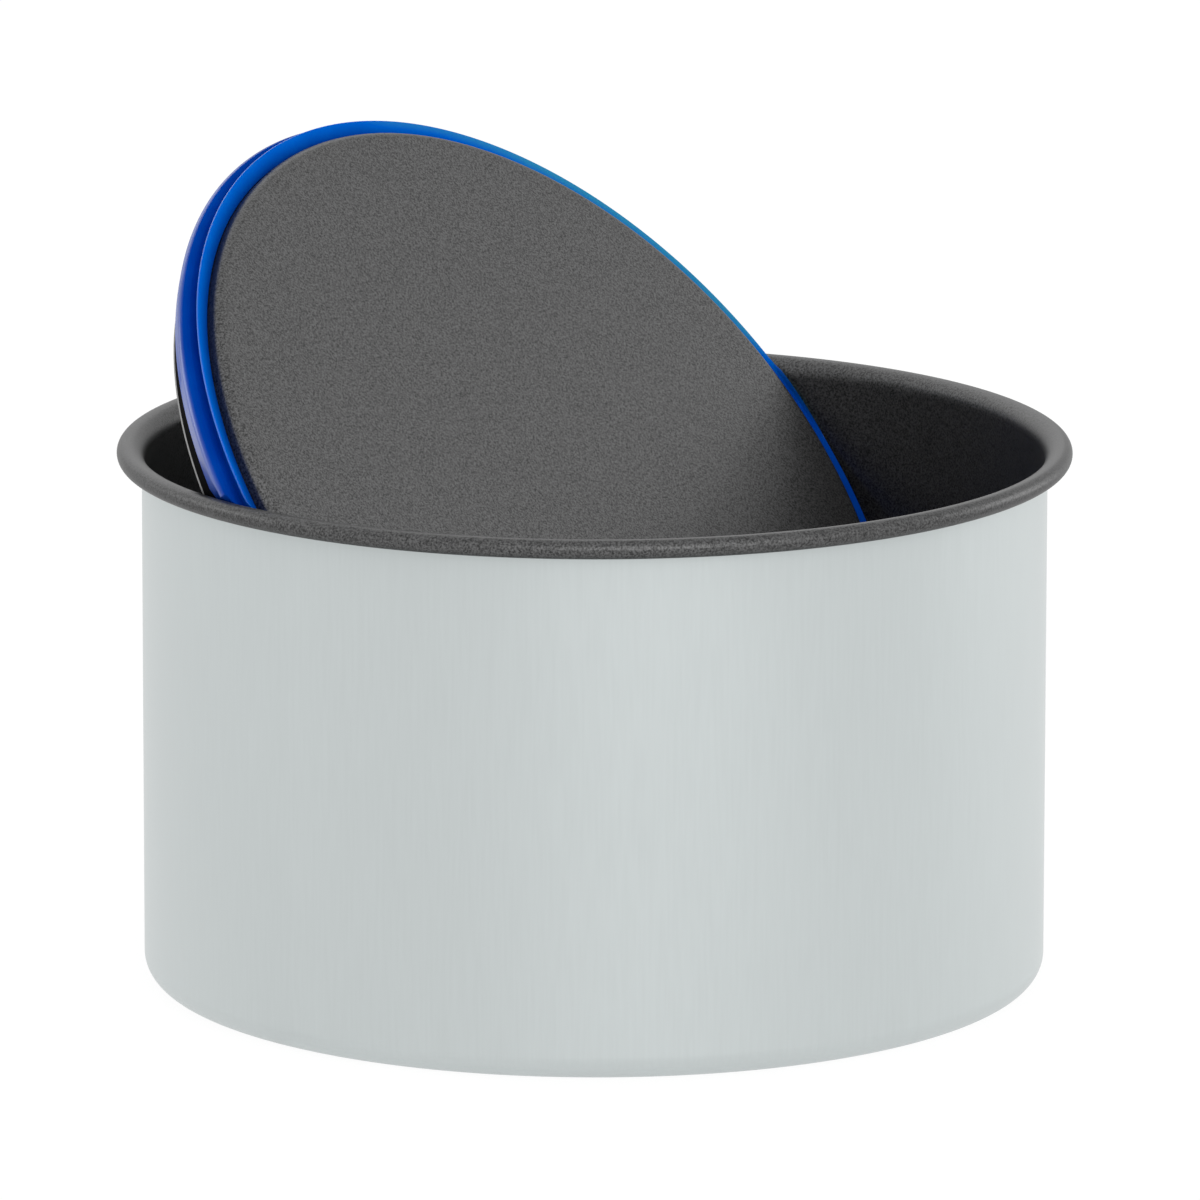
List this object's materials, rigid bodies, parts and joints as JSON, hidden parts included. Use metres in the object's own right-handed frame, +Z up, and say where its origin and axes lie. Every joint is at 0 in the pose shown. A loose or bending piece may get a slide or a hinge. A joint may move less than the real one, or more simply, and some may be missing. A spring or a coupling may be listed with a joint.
{
  "type": "round cake tin",
  "caption": "Deep round cake tin with a rolled rim and a ledge round a push-up hole; its loose base, edged with a double-lipped seal, lies tilted and wedged across the mouth.",
  "frame": {"origin": "middle of the foot ledge's underside, on the tin's axis", "axes": "+Z up along the tin's axis; the loose base leans back towards -X +Y, its face towards +X -Y"},
  "size_m": [0.1912, 0.1911, 0.1654],
  "materials": {
    "tin": "pale grey anodised, fine upright brushing outside; dark speckled non-stick inside and over the rim",
    "base_plate": "dark grey speckled non-stick with a bare cut edge",
    "seal": "glossy blue silicone"
  },
  "bodies": {
    "tin": {"tin_shell": "tin"},
    "loose_base": {"base_plate": "base_plate", "base_seal": "seal"}
  },
  "joints": [
    {"name": "base_lift", "type": "slide", "parent": "tin", "child": "loose_base", "axis": [0, 0, 1], "range_m": [0, 0.085]}
  ]
}
